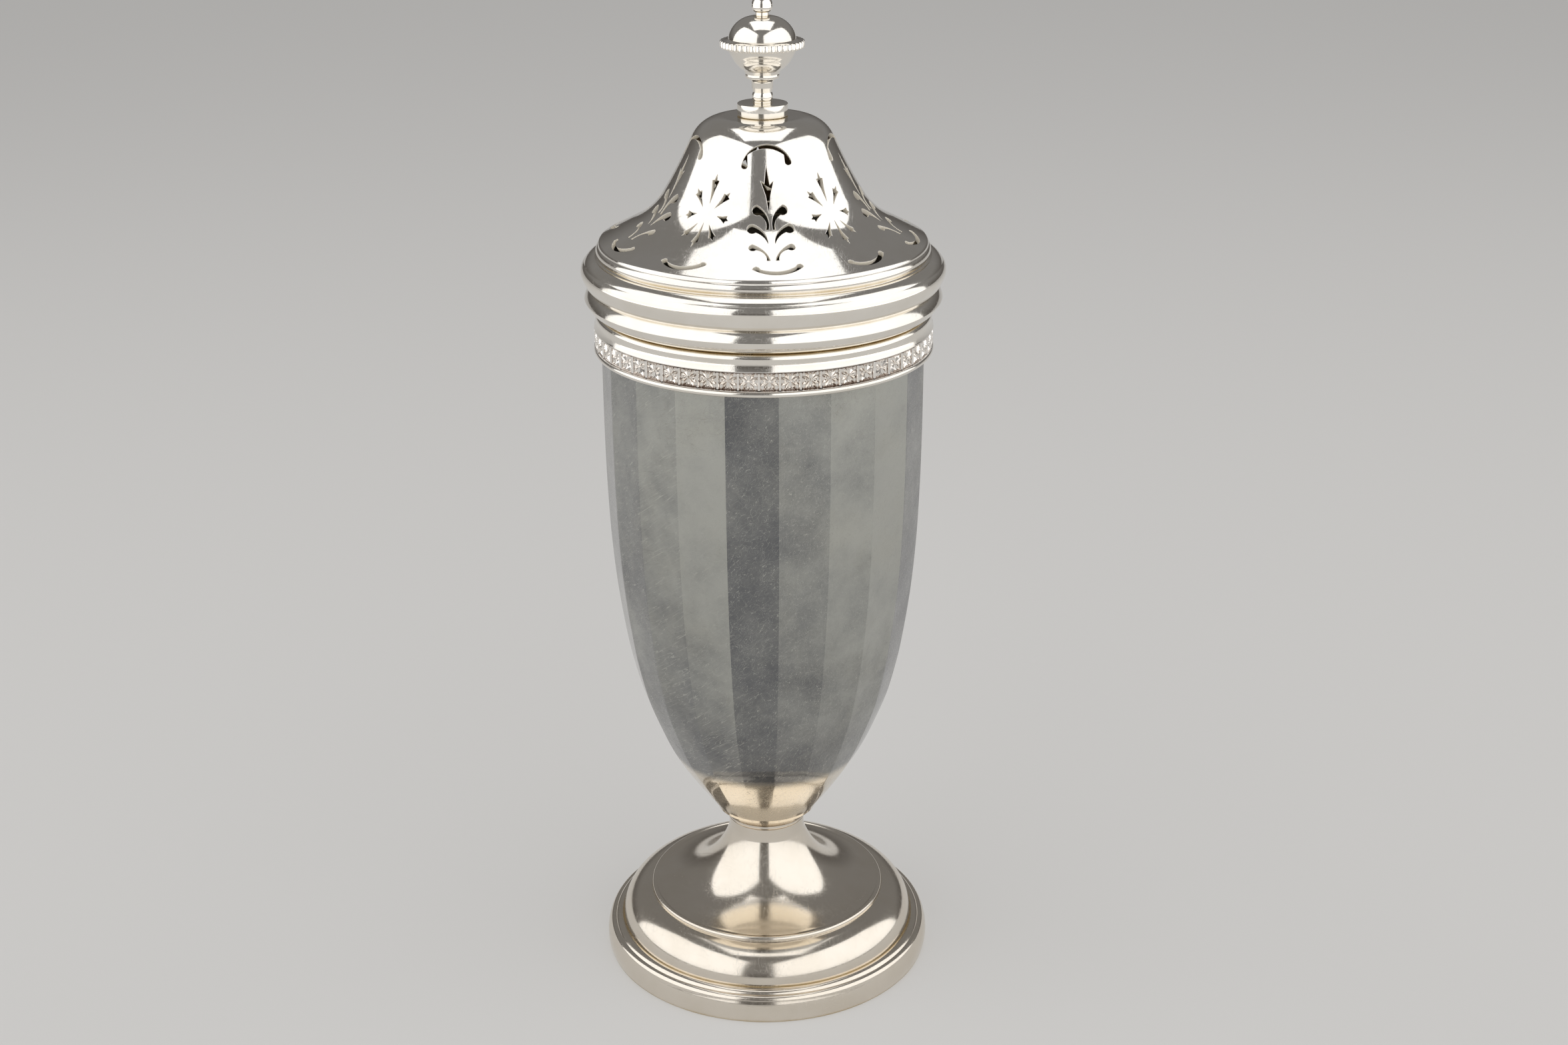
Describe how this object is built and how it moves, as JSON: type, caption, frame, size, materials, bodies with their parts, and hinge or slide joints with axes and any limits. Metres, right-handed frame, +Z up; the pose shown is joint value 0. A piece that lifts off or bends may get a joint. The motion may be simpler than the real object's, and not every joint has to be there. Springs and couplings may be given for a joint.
{
  "type": "sugar caster",
  "caption": "Tall table caster for sugar: a panelled bowl on a domed foot, closed by a saw-pierced cover that lifts off and carries a turned finial.",
  "frame": {"origin": "centre of the foot's underside, on the surface it stands on", "axes": "+Z up along the turning axis; -Y is the front, the side the picture shows; +X to the right of that view"},
  "size_m": [0.0666, 0.0666, 0.19],
  "materials": {
    "bright_silver": "polished, spun and hand worn",
    "panel_silver": "satin, finely scratched",
    "dome_silver": "polished, saw-pierced, fine turned lines",
    "band_silver": "milled relief with patina in its recesses",
    "sleeve_silver": "drawn, unpolished"
  },
  "bodies": {
    "caster_body": {"foot_rim": "bright_silver", "foot": "bright_silver", "foot_collar": "bright_silver", "bowl": "panel_silver", "band_wire": "bright_silver", "band_strip": "band_silver", "shoulder_moulding": "bright_silver", "mouth_ring": "bright_silver"},
    "cover": {"cover_rim": "bright_silver", "cover_bead": "bright_silver", "cover_sleeve": "sleeve_silver", "cover_dome": "dome_silver", "finial_washer": "sleeve_silver", "finial_peg": "sleeve_silver", "finial_disc": "bright_silver", "finial_stem": "bright_silver", "finial_cup": "bright_silver", "finial_gadroon": "bright_silver", "finial_crown": "bright_silver", "finial_knop": "bright_silver"}
  },
  "joints": [
    {"name": "cover_lift", "type": "slide", "parent": "caster_body", "child": "cover", "axis": [0, 0, 1], "range_m": [0, 0.04]}
  ]
}
